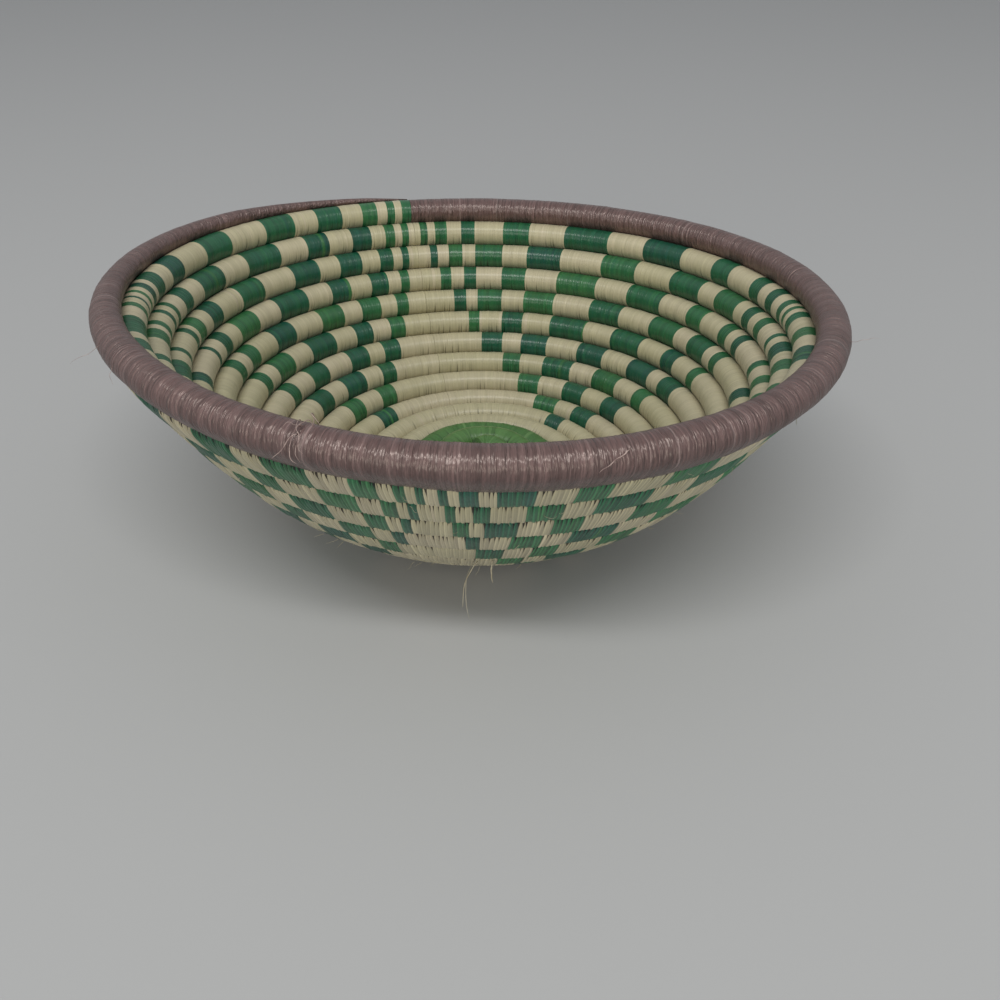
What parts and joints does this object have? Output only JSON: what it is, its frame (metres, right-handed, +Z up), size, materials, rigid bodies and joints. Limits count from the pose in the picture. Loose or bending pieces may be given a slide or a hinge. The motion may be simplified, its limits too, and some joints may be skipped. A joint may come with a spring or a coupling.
{
  "type": "coiled basket bowl",
  "caption": "Round open bowl of one coiled grass bundle, sewn round by round with raffia in a stepped green and natural check, with a mauve rim.",
  "frame": {"origin": "middle of the bowl's box, on the surface that it stands on", "axes": "+Z up out of the bowl's mouth, -Y towards the side that the picture shows nearest"},
  "size_m": [0.2288, 0.2274, 0.0847],
  "materials": {
    "natural_raffia": "dry split raffia, satin",
    "bright_green_raffia": "dyed raffia, satin",
    "dark_green_raffia": "dyed raffia, satin",
    "mauve_raffia": "dyed raffia in fine threads, with a soft highlight",
    "grass_bundle": "dry grass stems, matt"
  },
  "bodies": {
    "root": {"foundation_coil": "grass_bundle", "centre_round_1": "bright_green_raffia", "centre_round_2": "bright_green_raffia", "base_round_3": "natural_raffia", "base_round_4": "natural_raffia", "wall_round_05": "natural_raffia", "wall_round_06": "natural_raffia", "wall_round_07": "natural_raffia", "wall_round_08": "natural_raffia", "wall_round_09": "natural_raffia", "wall_round_10": "natural_raffia", "wall_round_11": "natural_raffia", "wall_round_12": "natural_raffia", "wall_round_13": "natural_raffia", "rim_round": "mauve_raffia"}
  },
  "joints": []
}
